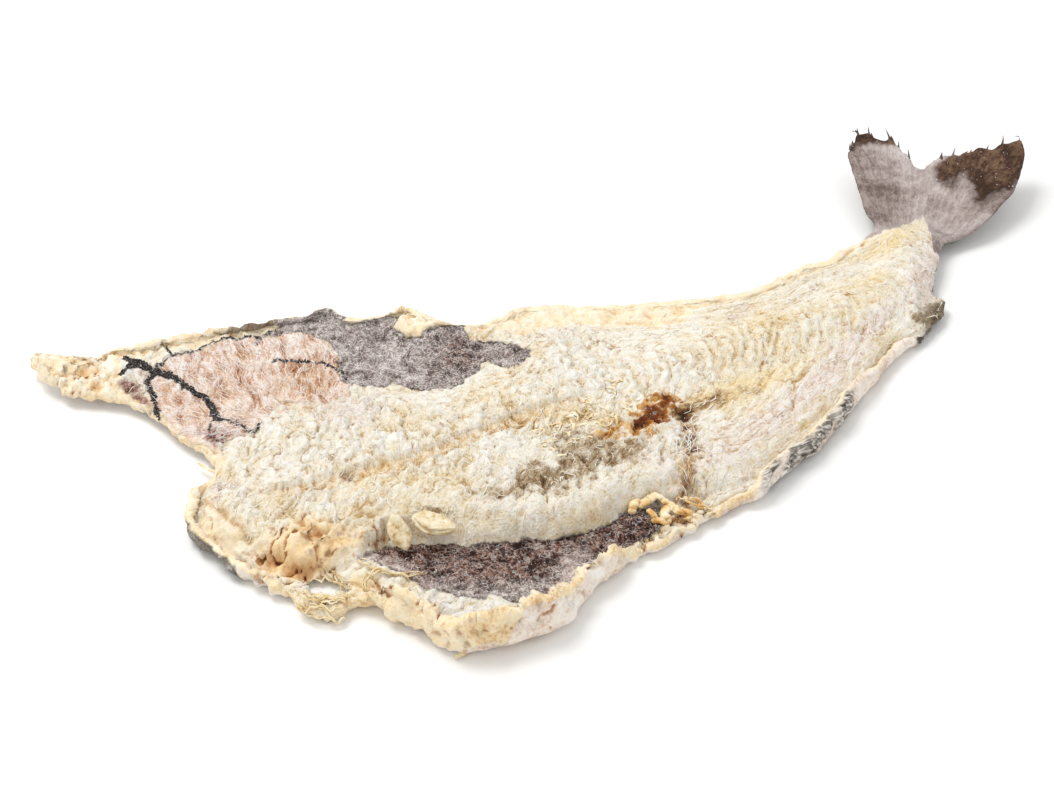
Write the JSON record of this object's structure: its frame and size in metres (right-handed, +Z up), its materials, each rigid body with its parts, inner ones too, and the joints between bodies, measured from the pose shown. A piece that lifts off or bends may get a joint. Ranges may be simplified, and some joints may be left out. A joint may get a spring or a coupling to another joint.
{
  "type": "split salted dried cod",
  "caption": "Whole headless cod, split open, salted and dried flat, with curled belly flaps, thick loins, tapering tail and forked tail fin.",
  "frame": {"origin": "centre of the fish's bounding box in plan, on the surface it lies on", "axes": "+X from the nape to the tail fin, +Y to the fish's left belly flap, +Z up out of the flesh side"},
  "size_m": [0.6722, 0.3602, 0.0334],
  "materials": {
    "dried_flesh": "dry, rough and flaky",
    "gristle": "smooth and dry"
  },
  "bodies": {
    "root": {"split_cod": "dried_flesh", "collar_knob_large": "gristle", "collar_knob_small": "gristle"}
  },
  "joints": []
}
